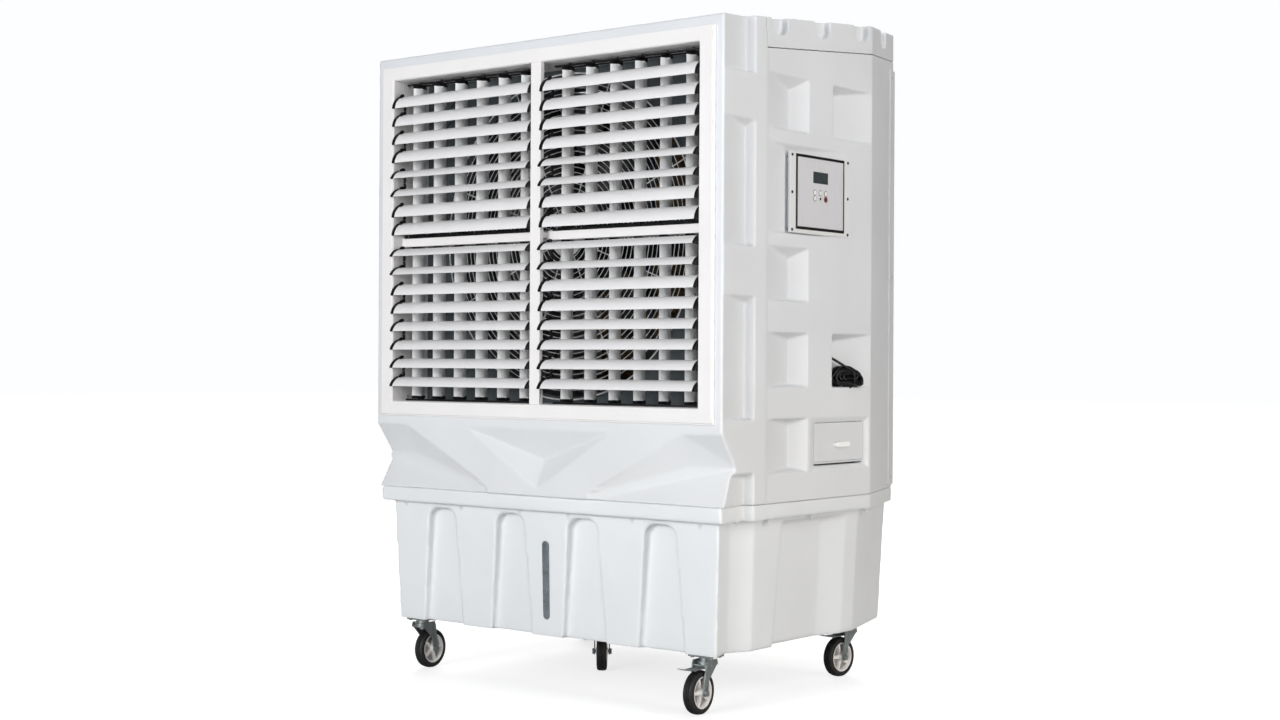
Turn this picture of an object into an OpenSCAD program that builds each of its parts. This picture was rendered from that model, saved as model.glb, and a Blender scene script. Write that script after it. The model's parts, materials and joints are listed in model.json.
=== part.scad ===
// Mobile evaporative cooler: cabinet on a water tank with casters, front
// louvres, axial fan, wetted pad at the back and an access hatch.
// Millimetres, +Z up, the front looks along -Y, the control side is +X.
// The origin is on the floor under the middle of the bounding box.

/* [Cabinet] */
// Full width of the cabinet
body_w = 1380; // [1376:1:1384]
// Plan depth of the cabinet, front face to back face
body_d = 1115; // [1112:1:1118]
// Wall thickness of the moulded shells
wall = 8; // [6:0.5:9]
// Slope of the roof and of the cover seam, rising to the back
roof_slope = 5.5; // [5:0.1:6]
// Depth of the facetted pockets in the side walls
pocket_depth = 40; // [30:1:44]

/* [Louvres] */
// Chord of one horizontal blade
blade_chord = 58; // [50:1:58]
// Sheet thickness of blades and vanes
sheet = 1.8; // [1.4:0.1:2.4]
// Chord of one vertical vane
vane_chord = 56; // [46:1:56]
// Rest tilts of the eight blade pairs, from the top
pair_tilt = [45, 45, 26, 45, 23, 39, 32, 30]; // [0:1:60]

/* [Fan] */
// Radius of the fan opening
fan_r = 490; // [480:1:495]
// Number of fan blades
fan_blades = 6; // [4:1:8]
// Pitch of the fan blades
fan_pitch = 32; // [20:1:38]
// Spacing of the guard rings
guard_pitch = 16; // [14:1:32]

/* [Casters] */
// Wheel diameter
wheel_d = 125; // [120:1:126]
// Swivel offset between king pin and axle
trail = 38; // [34:1:40]

/* [Hidden] */
$fn = 72;

half_w = body_w / 2;
panel_x = half_w - 2;    // side panels stand 2 mm inside the pillars
rear_y = 1125;           // back of the pad grille
lip_y = -23.897;         // foremost blade lip at rest
key_x = panel_x + 8.2;   // outermost face of the keys
shift_x = -(key_x - half_w) / 2;   // centres the bounding box in x
shift_y = -(rear_y + lip_y) / 2;   // centres the bounding box in y
tank_top = 590;          // seam between tank rim and housing
roof_z = 1963;           // roof plane at the front face
seam_y = 215;            // front end of the cover seam
seam_z = 1896;

// ---------- helpers ----------
// The modelling frame has y = 0 on the cabinet's front face
module at_front() translate([shift_x, shift_y, 0]) children();
module xcyl(r, x0, x1) translate([x0, 0, 0]) rotate([0, 90, 0]) cylinder(r = r, h = x1 - x0);
module ycyl(r, y0, y1) translate([0, y0, 0]) rotate([-90, 0, 0]) cylinder(r = r, h = y1 - y0);
module box(low, high) translate(low) cube([high[0] - low[0], high[1] - low[1], high[2] - low[2]]);
// block from x0 to x1 over the rectangle [y0, y1, z0, z1], grown on its four sides
module yz_box(x0, x1, rect, grow = 0)
  box([x0, rect[0] - grow, rect[2] - grow], [x1, rect[1] + grow, rect[3] + grow]);
module both_sides() {
  children();
  mirror([1, 0, 0]) children();
}
// closes a +X half outline with its mirror image
function mirrored(points) = concat(points,
  [for (k = [len(points) - 1:-1:0]) [-points[k][0], points[k][1]]]);

// ---------- cabinet outline ----------
panel_y = 216;      // front end of the side panels
chamfer_y = 780;    // rear chamfers start here
chamfer_x = 562;    // and end here, on the back face
// +X half of the plan [x, y], set in by the given amount
function side_points(inset) = [
  [half_w - inset, inset],
  [half_w - inset, 213],
  [panel_x - inset, panel_y],
  [panel_x - inset, chamfer_y - inset * 0.19],
  [chamfer_x - inset * 0.83, body_d - inset]];
module body_prism(inset, z, height)
  translate([0, 0, z]) linear_extrude(height) polygon(mirrored(side_points(inset)));
module above_roof(drop = 0) translate([0, 0, roof_z - drop]) rotate([roof_slope, 0, 0])
  translate([-1000, -600, 0]) cube([2000, 2600, 500]);
// everything behind and above the cover seam; y and z offset it along its slope
module cover_zone(y = 0, z = 0) translate([0, seam_y, seam_z]) rotate([roof_slope, 0, 0])
  translate([-1000, y, z]) cube([2000, 1500, 500]);

// ---------- wall pockets ----------
// rows of [z0, z1, top inset, bottom inset]
front_pocket_rows = [[1814, 2060, 0, 0], [1325, 1684, 20, 0], [833, 1184, 20, 2], [500, 683, 14, 0]];
side_pocket_rows = [[1671, 1830, 34, 4], [1174, 1332, 30, 4], [924, 1083, 16, 6], [675, 833, 12, 12]];
back_pocket_rows = [[1671, 1829], [922, 1083]];   // [z0, z1]
control_row = [1371, 1631];   // z0, z1 of the pocket row with the control panel
front_pocket_depth = 28;
front_pocket_deep_y = 143;
front_pocket_end_y = 154;
back_pocket_depth = 55;

// facetted pocket in the +X wall: flush rectangle on face_x, one deep edge at deep_y;
// the mouth is carried on 1 mm outside the face
module pocket(face_x, y0, y1, z0, z1, deep_y, depth, top_inset, bottom_inset) {
  grow = (depth + 1) / depth;
  mouth_y0 = deep_y + (y0 - deep_y) * grow;
  mouth_y1 = deep_y + (y1 - deep_y) * grow;
  mouth_z0 = z0 + bottom_inset - bottom_inset * grow;
  mouth_z1 = z1 - top_inset + top_inset * grow;
  polyhedron(
    points = [
      [face_x + 1, mouth_y0, mouth_z0], [face_x + 1, mouth_y1, mouth_z0],
      [face_x + 1, mouth_y1, mouth_z1], [face_x + 1, mouth_y0, mouth_z1],
      [face_x - depth, deep_y, z0 + bottom_inset], [face_x - depth, deep_y, z1 - top_inset]],
    faces = [[0, 3, 2, 1], [0, 4, 5, 3], [1, 2, 5, 4], [3, 5, 2], [0, 1, 4]]);
}
module front_pockets() for (p = front_pocket_rows)
  pocket(half_w, 5, front_pocket_end_y, p[0], p[1], front_pocket_deep_y,
    front_pocket_depth, p[2] + 0.01, p[3] + 0.01);
module side_pocket(z0, z1, top_inset, bottom_inset)
  pocket(panel_x, panel_y, 430, z0, z1, 379, pocket_depth, top_inset, bottom_inset);
module side_pockets(with_panel = false) {
  for (p = side_pocket_rows) side_pocket(p[0], p[1], p[2], p[3]);
  if (with_panel) pocket(panel_x, panel_y, 628, control_row[0], control_row[1], 345, 17, 16, 3);
  else side_pocket(control_row[0], control_row[1], 30, 4);
  for (p = back_pocket_rows)
    pocket(panel_x, 562, chamfer_y - 1, p[0], p[1], 567, back_pocket_depth, 26, 3);
}
// solid blocks that the pockets are cut into
module pocket_backs() {
  side_x = panel_x - pocket_depth - wall;
  for (p = front_pocket_rows)
    box([half_w - front_pocket_depth - wall, 0, max(p[0] - wall, tank_top - 20)],
      [half_w + 1, 165, min(p[1] + wall, 1990)]);
  for (p = side_pocket_rows) yz_box(side_x, panel_x, [208, 440, p[0] - wall, p[1] + wall]);
  for (p = back_pocket_rows)
    yz_box(panel_x - back_pocket_depth - wall, panel_x, [555, 790, p[0] - wall, p[1] + wall]);
  yz_box(side_x, panel_x, [208, 655, 1363, 1639]);
}

// ---------- lower front ----------
module convex_cell(points) // from 4 or more points
  hull() polyhedron(points = points, faces = [for (i = [1:len(points) - 2]) [0, i, i + 1]]);
// end groove with a slanted closing facet, on the +X side
module groove_cells() {
  end_x = half_w + 3;   // outside the pillar
  front = -2;           // in front of the face
  top_in = [552, 0, 792];
  top_out = [end_x, 0, 795];
  deep_in = [548, 44, 700];
  deep_out = [end_x, 66, 699];
  low_in = [203, 4, 611];
  low_out = [end_x, 10, 600];
  convex_cell([top_in, top_out, deep_in, deep_out, [552, front, 793], [end_x, front, 796],
    [548, front, 700], [end_x, front, 699]]);
  convex_cell([deep_in, deep_out, low_in, low_out, [548, front, 700], [end_x, front, 699],
    [203, front, 611], [end_x, front, 585], [end_x, 10, 585], [203, 4, 585], [203, front, 585]]);
  convex_cell([top_in, deep_in, low_in, [552, front, 793], [548, front, 700], [199, front, 611]]);
}
module middle_recess()
  convex_cell([[-290, 0, 790], [290, 0, 790], [0, 0, 611], [0, 41, 697],
    [-292, -2, 791], [292, -2, 791], [0, -2, 609]]);

// ---------- main housing ----------
hatch_y0 = 482;
hatch_y1 = 756;
hatch_z0 = 688;
hatch_z1 = 816;
hinge_x = panel_x - 21;
hinge_z = hatch_z0 + 9.5;
// control panel rectangles [y0, y1, z0, z1]
panel_face = [326, 645, 1375, 1609];
panel_block = [341, 631, 1390, 1595];
// louvre frame outside, and its lap over the housing opening
frame_w = 1328;
frame_z0 = 820;
frame_z1 = 1933;
frame_lap = 22;
// pad and the grille behind it
pad_z = 613;
grille_x = 552;
grille_z1 = 1945;
grille_gap = 0.5;

// bevelled border round the hatch
module hatch_frame() {
  outer_x = panel_x + 1;
  inner_x = panel_x - 12;
  polyhedron(
    points = [
      [outer_x, 443, 672], [outer_x, 769, 672], [outer_x, 769, 834], [outer_x, 443, 834],
      [inner_x, hatch_y0, hatch_z0], [inner_x, hatch_y1, hatch_z0],
      [inner_x, hatch_y1, hatch_z1], [inner_x, hatch_y0, hatch_z1]],
    faces = [[0, 3, 2, 1], [4, 5, 6, 7], [0, 4, 7, 3], [1, 2, 6, 5], [3, 7, 6, 2], [0, 1, 5, 4]]);
}
// hollow, with the walls behind pockets, grooves and hatch left standing
module housing_cavity() difference() {
  body_prism(wall, tank_top - 10, 1700);
  // roof in front of the cover
  intersection() {
    above_roof(wall);
    box([-1000, -10, 1700], [1000, seam_y - 2, 2300]);
  }
  both_sides() pocket_backs();
  box([-1000, 0, tank_top - 20], [1000, 76, 806]);
  yz_box(panel_x - 40, panel_x, [440, 782, 660, 844]);
  // ledge that carries the pad
  box([-600, 965, 598], [600, 1110, pad_z]);
  // bulkhead below the front end of the cover
  box([-1000, seam_y - 14, seam_z - 60], [1000, seam_y, 2300]);
}
module housing_openings() {
  // louvre opening
  frame_x = frame_w / 2 - frame_lap;
  box([-frame_x, -5, frame_z0 + frame_lap], [frame_x, 90, frame_z1 - frame_lap]);
  // pad rebate
  rebate_x = grille_x + grille_gap;
  box([-rebate_x, 1078, pad_z], [rebate_x, 1130, grille_z1 + grille_gap]);
  // passage through the bulkhead
  box([-600, seam_y - 20, 860], [600, seam_y + 2, 1898]);
  // hatch, with bores for its hinge pins
  hatch_frame();
  box([panel_x - 60, hatch_y0, hatch_z0], [panel_x, hatch_y1, hatch_z1]);
  for (y = [hatch_y0 - 14, hatch_y1 - 2]) translate([hinge_x, y, hinge_z]) ycyl(3.1, 0, 16);
  // seat of the control panel
  yz_box(panel_x - 46, panel_x + 2, panel_block, 1);
  yz_box(panel_x - 3, panel_x + 2, panel_face, 0.5);
}
module main_housing() color("#d3d6da") at_front() difference() {
  body_prism(0, tank_top, 1600);
  housing_cavity();
  above_roof();
  cover_zone();
  both_sides() front_pockets();
  side_pockets(true);
  mirror([1, 0, 0]) side_pockets();
  both_sides() groove_cells();
  middle_recess();
  housing_openings();
}

// ---------- top cover ----------
// vertical scoop, 80 wide and 26 deep, open at the top; local -Y points outward
module scoop(grow) translate([0, 0, -grow]) intersection() {
  union() {
    translate([-40 - grow, -6, 24]) cube([80 + 2 * grow, 32 + grow, 200]);
    translate([-16, -6, 0]) cube([32, 32 + grow, 60]);
    for (side = [-1, 1]) translate([side * 16, 0, 24]) rotate([-90, 0, 0])
      translate([0, 0, -6]) cylinder(r = 24 + grow, h = 32 + grow);
  }
  translate([-60, -6, -10 - grow]) cube([120, 32 + grow, 300]);
}
// scoops of the +X half: three on the side, one on the chamfer, two on the back
module cover_scoops(grow) {
  for (place = [[277, 1940], [500, 1962], [718, 1983]]) // [y, z]
    translate([panel_x + 2, place[0], place[1]]) rotate([0, 0, 90]) scoop(grow);
  translate([(panel_x + chamfer_x) / 2, (chamfer_y + body_d) / 2, 2002])
    rotate([0, 0, 180 - 69.4]) scoop(grow);
  for (x = [120, 370]) translate([x, body_d + 2, 2026]) rotate([0, 0, 180]) scoop(grow);
}
module top_cover() color("#d6d9dc") at_front() difference() {
  intersection() {
    body_prism(0, 1800, 400);
    cover_zone(0.4, 0.4);
  }
  above_roof();
  // hollow, with walls left round the scoops
  difference() {
    intersection() {
      body_prism(wall, 1700, 500);
      cover_zone(wall, -50);
    }
    above_roof(wall);
    both_sides() cover_scoops(wall);
  }
  both_sides() cover_scoops(0);
}

// ---------- tank ----------
rim_z = 545;
tub_z0 = 165;
tub_z1 = 560;
tub_mid_y = 560;     // the tub tapers towards this line
foot_scale = 0.972;  // plan size at the foot against the top
basin_z = 175;
rib_h = 24;
rib_t = 8;
rib_z = 522;
// +X half outlines [x, y]
rim_side = concat(
  [[681, 12], [half_w - front_pocket_depth, front_pocket_deep_y], [half_w, front_pocket_end_y]],
  [for (k = [1:4]) side_points(0)[k]]);
tub_side = [[654, 40], [626, 128], [660, 203], [660, 312], [630, 350], [630, 590],
  [660, 690], [660, 758], [560, 1080]];
basin_side = [[600, 84], [600, 850], [530, 1035]];

module tub() translate([0, tub_mid_y, tub_z0])
  linear_extrude(height = tub_z1 - tub_z0, scale = 1 / foot_scale) scale([foot_scale, foot_scale])
    translate([0, -tub_mid_y]) polygon(mirrored(tub_side));
function tub_scale(z) = foot_scale + (1 - foot_scale) * (z - tub_z0) / (tub_z1 - tub_z0);
// top-size place brought in to the taper at its height
function tub_point(p) =
  [p[0] * tub_scale(p[2]), tub_mid_y + (p[1] - tub_mid_y) * tub_scale(p[2]), p[2]];
// four lower corners, then four upper ones
module recess_block(corners)
  hull() polyhedron(points = [for (p = corners) tub_point(p)],
    faces = [[0, 1, 2, 3], [7, 6, 5, 4], [0, 4, 5, 1], [1, 5, 6, 2], [2, 6, 7, 3], [3, 7, 4, 0]]);
// fills the side recess: a post edge that leans back towards the top, and a lintel
module recess_fill() {
  recess_block([
    [660, 300, tub_z0], [660, 312, tub_z0], [630, 350, tub_z0], [620, 300, tub_z0],
    [660, 300, rim_z], [660, 345, rim_z], [630, 383, rim_z], [620, 300, rim_z]]);
  recess_block([
    [660, 310, 533], [660, 700, 533], [622, 700, 521], [622, 310, 521],
    [660, 310, 556], [660, 700, 556], [622, 700, 556], [622, 310, 556]]);
}
// bottle-shaped outline [x, z] of a flute in the tank front
module flute_2d() {
  polygon([[-88, 100], [88, 100], [58, 488], [-58, 488]]);
  translate([-20, 480]) square([40, 48]);
  for (side = [-1, 1]) translate([side * 20, 489]) circle(r = 38.6);
}
// triangular rib below the rim
module rib(length) translate([0, 0, rib_h]) rotate([0, 90, 0]) linear_extrude(rib_t)
  polygon([[0, 0], [0, length], [rib_h, length]]);
module water_tank() color("#e6e5e0") at_front() difference() {
  union() {
    tub();
    both_sides() recess_fill();
    translate([0, 0, rim_z]) linear_extrude(tank_top - rim_z) polygon(mirrored(rim_side));
    // ribs that brace the rim
    for (x = [-590, -345, -99, 98, 342, 588]) translate([x - rib_t / 2, 20, rib_z]) rib(30);
    both_sides() for (y = [102, 239, 462, 775]) translate([655, y + rib_t / 2, rib_z])
      rotate([0, 0, 90]) mirror([0, 1, 0]) rib(y == 102 ? 12 : 24);
    // float valve inlet for a hose
    translate([-300, 1060, 470]) {
      ycyl(16, 0, 18);
      ycyl(6.5, 0, 48);
    }
  }
  // basin
  translate([0, 0, basin_z]) linear_extrude(500) polygon(mirrored(basin_side));
  for (x = [-438, -146, 146, 438]) translate([x, 0, 0]) rotate([90, 0, 0])
    translate([0, 0, -73]) linear_extrude(60) flute_2d();
  // pocket that holds the level window
  for (z = [228, 440]) translate([0, 0, z]) ycyl(13, 0, 52);
  box([-13, 0, 228], [13, 52, 440]);
}

// ---------- louvre frame, blades and vanes ----------
inner_x = 612;       // louvre frame opening
inner_z0 = 867;
inner_z1 = 1890;
sleeve_y = 148;      // back of the frame sleeve
row_y = 1;
row_z = [for (i = [0:15]) i < 8 ? 1825 - 58 * i : 1343 - 58.7 * (i - 8)];
vane_y = 62;
vane_pitch = 93.4;
vane_x = [for (i = [0:11]) i < 6 ? -562 + vane_pitch * i : 71 + vane_pitch * (i - 6)];
crank = 16;          // vane axis to link pin
bow = 10;            // rise of the curved sections
bow_base = -4.6;     // chord line below the pivot

// widening of the opening at its front edge
module flare() {
  lip_x = inner_x + 4;
  lip_z0 = inner_z0 - 4;
  lip_z1 = inner_z1 + 4;
  polyhedron(
    points = [
      [-lip_x, -13, lip_z0], [lip_x, -13, lip_z0], [lip_x, -13, lip_z1], [-lip_x, -13, lip_z1],
      [-inner_x, -7, inner_z0], [inner_x, -7, inner_z0],
      [inner_x, -7, inner_z1], [-inner_x, -7, inner_z1]],
    faces = [[3, 2, 1, 0], [4, 5, 6, 7], [0, 1, 5, 4], [2, 3, 7, 6], [1, 2, 6, 5], [3, 0, 4, 7]]);
}
module louver_frame() color("#f4f5f6") at_front() difference() {
  half = frame_w / 2;
  union() {
    difference() {
      union() {
        box([-half, -6, frame_z0], [half, 0, frame_z1]);
        box([-half + 5, -12, frame_z0 + 5], [half - 5, -6, frame_z1 - 5]);
        box([-inner_x - 8, -6, inner_z0 - 8], [inner_x + 8, sleeve_y, inner_z1 + 8]);
      }
      box([-inner_x, -40, inner_z0], [inner_x, sleeve_y + 5, inner_z1]);
      flare();
    }
    // centre mullion, shallow, tied back to the mid-rail
    box([-20, -10, inner_z0 - 1], [20, 5.5, inner_z1 + 1]);
    box([-14, 4, 1366], [14, 35, 1383]);
    box([-inner_x - 1, 33, 1360], [inner_x + 1, 84, 1389]);
  }
  // pivot bores
  for (z = row_z) translate([0, row_y, z]) xcyl(3.1, -700, 700);
  for (x = vane_x) translate([x, vane_y, 800]) cylinder(r = 3.1, h = 1200);
}
// bowed sections: chord along x, bulge along +y, pivot at the origin
function bow_radius(chord) = (chord * chord / 4 + bow * bow) / (2 * bow);
module bow_clip(chord) intersection() {
  translate([0, bow_base + bow - bow_radius(chord)]) children();
  translate([-chord / 2, bow_base]) square([chord, bow + 1]);
}
module crescent(chord) bow_clip(chord) difference() {
  circle(r = bow_radius(chord), $fn = 180);
  circle(r = bow_radius(chord) - sheet, $fn = 180);
}
module segment(chord) bow_clip(chord) circle(r = bow_radius(chord), $fn = 180);

module blade_row(i) color("#eeeff0") at_front() translate([0, row_y, row_z[i]])
  rotate([pair_tilt[floor(i / 2)], 0, 0]) {
    cap = 2.6;   // solid end caps of a blade
    for (span = [[-606, -22], [22, 606]]) translate([span[0], 0, 0]) rotate([90, 0, 90]) {
      length = span[1] - span[0];
      linear_extrude(length) crescent(blade_chord);
      for (z = [0, length - cap]) translate([0, 0, z]) linear_extrude(cap) segment(blade_chord);
    }
    for (pin = [[-617, -604], [-24, 24], [604, 617]]) xcyl(3, pin[0], pin[1]);
  }
module vane_section() rotate([0, 0, 90]) mirror([0, 1, 0]) children();
module vane_hub() linear_extrude(10) {
  vane_section() segment(vane_chord);
  circle(r = 9);
}
module vane(i) color("#eeeff0") at_front() translate([vane_x[i], vane_y, 0]) {
  for (span = [[884, 1348], [1402, 1866]])
    translate([0, 0, span[0]]) linear_extrude(span[1] - span[0])
      vane_section() crescent(vane_chord);
  for (z = [874, 1348, 1392, 1866]) translate([0, 0, z]) vane_hub();
  for (pin = [[862, 876], [1350, 1400], [1868, 1895]])
    translate([0, 0, pin[0]]) cylinder(r = 3, h = pin[1] - pin[0]);
  // crank arms and pins that the link bars ride on: [arm z, pin z]
  for (z = [[871.5, 868], [1875, 1877]]) {
    translate([-5, 0, z[0]]) cube([10, crank, 3]);
    translate([0, crank, z[0]]) cylinder(r = 5, h = 3);
    translate([0, crank, z[1]]) cylinder(r = 2.5, h = 5);
  }
}
// a lower and an upper bar for each group of six vanes
module vane_link_bars() color("#17181a") at_front() for (first = [0, 6], z = [868, 1878.4])
  difference() {
    bar_y = vane_y + crank;
    box([vane_x[first] - 14, bar_y - 5, z], [vane_x[first + 5] + 14, bar_y + 5, z + 3]);
    for (k = [0:5]) translate([vane_x[first + k], bar_y, z - 1]) cylinder(r = 2.6, h = 6);
  }

// ---------- fan ----------
fan_z = 1376;
shroud_y = 330;   // back of the shroud ring
guard_y = 132;
shaft_r = 14;
module at_fan() at_front() translate([0, 0, fan_z]) children();

module fan_shroud() color("#8b98a3") at_fan() difference() {
  union() {
    box([-620, sleeve_y, -517], [620, sleeve_y + 4, 522]);
    ycyl(fan_r + 5, sleeve_y, shroud_y);
    ycyl(fan_r + 27, shroud_y - 5, shroud_y);
    // pressed gussets in the corners, outlines [x, z]
    for (x = [1, -1], z = [1, -1]) scale([x, 1, z])
      for (gusset = [[[600, 500], [600, 330], [470, 415]], [[590, 502], [430, 502], [520, 430]]])
        translate([0, sleeve_y, 0]) rotate([90, 0, 0]) linear_extrude(5) polygon(gusset);
  }
  ycyl(fan_r, sleeve_y - 10, shroud_y + 10);
}
module guard_plate(y0, y1) translate([0, y1, 0]) rotate([90, 0, 0])
  linear_extrude(y1 - y0) children();
module annulus(r, half_width) difference() {
  circle(r = r + half_width);
  circle(r = r - half_width);
}
// rings welded to the front of eight spokes, with a hub disc and four feet
module fan_guard() color("#6d7378") at_fan() translate([0, guard_y, 0]) {
  guard_plate(-1.5, 1.5) {
    for (r = [78:guard_pitch:fan_r - 6]) annulus(r, 1.5);
    annulus(fan_r + 8, 2.5);
  }
  guard_plate(1.2, 5) {
    for (a = [0:45:359]) rotate(-a - 20) translate([50, -2]) square([fan_r - 38, 4]);
    circle(r = 62);
  }
  for (a = [0:90:359]) rotate([0, a + 20, 0]) difference() {
    box([fan_r + 6, 1.2, -9], [fan_r + 24, sleeve_y - guard_y - 0.1, 9]);
    translate([fan_r + 18, 0, 0]) ycyl(2.6, 0, 20);
  }
}
// curved plate reaching out along +X
module fan_blade() rotate([0, 90, 0]) translate([0, 0, 80]) linear_extrude(420)
  intersection() {
    translate([0, 150]) difference() {
      circle(r = 156);
      circle(r = 152);
    }
    translate([-85, -10]) square([170, 60]);
  }
module fan_rotor() color("#22262a") at_fan() difference() {
  union() {
    ycyl(92, 190, 290);
    ycyl(70, 184, 190);
    for (k = [0:fan_blades - 1]) rotate([0, k * 360 / fan_blades, 0]) intersection() {
      translate([0, 240, 0]) rotate([fan_pitch, 0, 0]) fan_blade();
      ycyl(fan_r - 14, 186, 296);
    }
  }
  ycyl(shaft_r + 0.1, 260, 300);
}
module fan_motor() color("#3c4248") at_fan() difference() {
  union() {
    ycyl(shaft_r, 262, 330);
    // body with cooling fins
    ycyl(84, 318, 505);
    for (k = [0:8]) translate([0, 345 + k * 16, 0]) ycyl(96, 0, 6);
    ycyl(60, 505, 530);
    // four arms to the back flange of the shroud ring, with bolts
    for (a = [45:90:359]) rotate([0, a, 0]) {
      box([70, shroud_y, -16], [fan_r + 24, shroud_y + 6, 16]);
      translate([fan_r + 15, 0, 0]) ycyl(7, shroud_y, shroud_y + 12);
    }
    // box on top
    box([-45, 370, 80], [45, 450, 130]);
  }
  ycyl(5, 520, 540);
}

// ---------- wet side ----------
pad_y0 = 970;
pad_y1 = 1074;
pump = [-330, 880];   // x, y
spray_z = 1959;
// +X half [x, y] of the grille rim, with the wing that lies on the rear chamfer
grille_rim_side = [[chamfer_x, 1115.3], [562.28, 1115.1], [586.3, 1051.1], [589.1, 1052.2],
  [565, 1119]];

module cooling_pad() color("#a58454") at_front() box([-560, pad_y0, pad_z], [560, pad_y1, 1928]);
module rear_grille() color("#cfd2d5") at_front() {
  difference() {
    union() {
      box([-grille_x, 1078.5, pad_z + grille_gap], [grille_x, 1119, grille_z1]);
      translate([0, 0, 600]) linear_extrude(1350) polygon(mirrored(grille_rim_side));
      box([-550, 1118, pad_z + grille_gap], [550, rear_y, 1938]);
    }
    box([-532, 1070, 640], [532, rear_y + 5, 1914]);
  }
  // centre bar and tilted slats
  box([-12, 1082, 640], [12, 1120, 1918]);
  for (k = [0:27]) translate([0, 1100, 668 + k * 45.4]) rotate([32, 0, 0])
    box([-534, -17, -1.2], [534, 17, 1.2]);
}
module water_pump() color("#2c4a63") at_front() {
  pipe_x = pump[0] + 70;
  pipe_z = 200;
  spray_y = (pad_y0 + pad_y1) / 2;
  translate([pump[0], pump[1], basin_z]) {
    cylinder(r = 58, h = 14);
    cylinder(r = 46, h = 120);
    cylinder(r = 30, h = 150);
    translate([0, 0, 30]) xcyl(13, 40, 82);
  }
  // riser, then the drilled spray bar over the pad
  translate([pipe_x, pump[1], pipe_z]) cylinder(r = 11, h = spray_z - pipe_z);
  translate([pipe_x, 0, spray_z]) ycyl(11, pump[1], spray_y);
  difference() {
    translate([0, spray_y, spray_z]) xcyl(13, -560, 560);
    for (k = [-10:10]) translate([k * 52, spray_y, spray_z - 18]) cylinder(r = 2, h = 12);
  }
}

// ---------- controls and hatch ----------
key_places = [[452, 1498], [481, 1498], [510, 1498], [452, 1481], [510, 1481]];   // [y, z]
key_r = 7;

module control_panel() color("#dfe1e3") at_front() difference() {
  union() {
    yz_box(panel_x - 3, panel_x + 4, panel_face);
    yz_box(panel_x - 45, panel_x - 3, panel_block);
    yz_box(panel_x + 4, panel_x + 5.5, [355, 614, 1386, 1606]);
    yz_box(panel_x + 5.5, panel_x + 6.5, [363, 606, 1394.5, 1597.5]);
    // window of the remote control receiver
    translate([0, 481, 1481]) xcyl(4, panel_x + 6, panel_x + 7.4);
  }
  // shallow window above the keys
  yz_box(panel_x + 4.6, panel_x + 8, [443, 523, 1526, 1560]);
  for (k = key_places) translate([0, k[0], k[1]]) xcyl(key_r + 0.05, panel_x - 3, panel_x + 10);
  // screw holes
  for (y = [336, 635], z = [1383, 1492, 1601])
    translate([0, y, z]) xcyl(2.4, panel_x - 4, panel_x + 6);
}
module key(i) color("#f2f2f0") at_front() translate([0, key_places[i][0], key_places[i][1]]) {
  xcyl(key_r, panel_x - 1.5, panel_x + 7.6);
  xcyl(5.6, panel_x + 7.6, key_x);
}
module access_hatch() color("#dcddde") at_front() {
  y0 = hatch_y0 + 1;
  y1 = hatch_y1 - 1;
  yz_box(panel_x - 17.5, panel_x - 12.5, [y0, y1, hatch_z0 + 12, hatch_z1 - 1]);
  // hinge barrel and pins
  translate([hinge_x, 0, hinge_z]) {
    ycyl(5.5, y0, y1);
    ycyl(3, hatch_y0 - 10, hatch_y1 + 10);
  }
  yz_box(hinge_x, panel_x - 14, [y0, y1, hinge_z + 2, hinge_z + 6]);
  // bow handle
  for (y = [596, 655]) yz_box(panel_x - 13, panel_x - 1, [y - 4, y + 4, 744, 754]);
  yz_box(panel_x - 3, panel_x + 2, [592, 659, 742, 756]);
}

// ---------- casters ----------
// king pin x, y and rest heading (direction of trail)
casters = [[-571, 92, 94], [571, 92, -86], [-535, 889, 150], [535, 889, -96], [-84, 412, 128]];
wheel_r = wheel_d / 2;   // also the axle height
pedal_x = 22;            // pivot of the brake pedal
pedal_z = 131;
module at_king_pin(i) at_front() translate([casters[i][0], casters[i][1], 0]) children();
module at_caster(i) at_king_pin(i) rotate([0, 0, casters[i][2]]) children();
module at_plate_bolts(z) for (x = [-32, 32], y = [-22, 22]) translate([x, y, z]) children();

module caster_plates() color("#b9c0c4") for (i = [0:4]) at_king_pin(i) {
  difference() {
    box([-41, -31, 160], [41, 31, tub_z0]);
    at_plate_bolts(150) cylinder(r = 4.2, h = 30);
  }
  at_plate_bolts(156.5) cylinder(r = 6.5, h = 3.5, $fn = 6);
  at_plate_bolts(157) cylinder(r = 4, h = 8);
  // swivel boss, king pin and its head
  translate([0, 0, 149]) cylinder(r = 20, h = 11.5);
  translate([0, 0, 128]) cylinder(r = 6, h = 25);
  translate([0, 0, 128]) cylinder(r = 10, h = 5);
}
// side cheek of the fork: x along the trail, y up
module cheek_2d() polygon([[-24, 140], [-20, 152], [30, 152], [36, 140], [39, 118],
  [trail + 11, 64], [trail + 10, 57], [trail + 5, 52], [trail - 5, 52], [trail - 10, 57],
  [trail - 11, 64], [trail - 16, 96], [-10, 128]]);
module fork(i, braked = false) color("#aab3b6") at_caster(i) difference() {
  union() {
    for (side = [-1, 1]) translate([0, side * 23.5 + 1.75, 0]) rotate([90, 0, 0])
      linear_extrude(3.5) cheek_2d();
    box([-24, -25, 136], [34, 25, 140]);
    translate([0, 0, 136]) cylinder(r = 25.5, h = 12.4);
    // axle with its heads
    translate([trail, 0, wheel_r]) {
      ycyl(5, -31, 31);
      ycyl(9, -31, -25);
      ycyl(9, 25, 31);
    }
  }
  translate([0, 0, 120]) cylinder(r = 6.1, h = 60);
  translate([0, 0, 120]) cylinder(r = 12, h = 18);
  if (braked) translate([pedal_x, 0, pedal_z]) ycyl(3.1, -40, 40);
}
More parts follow.
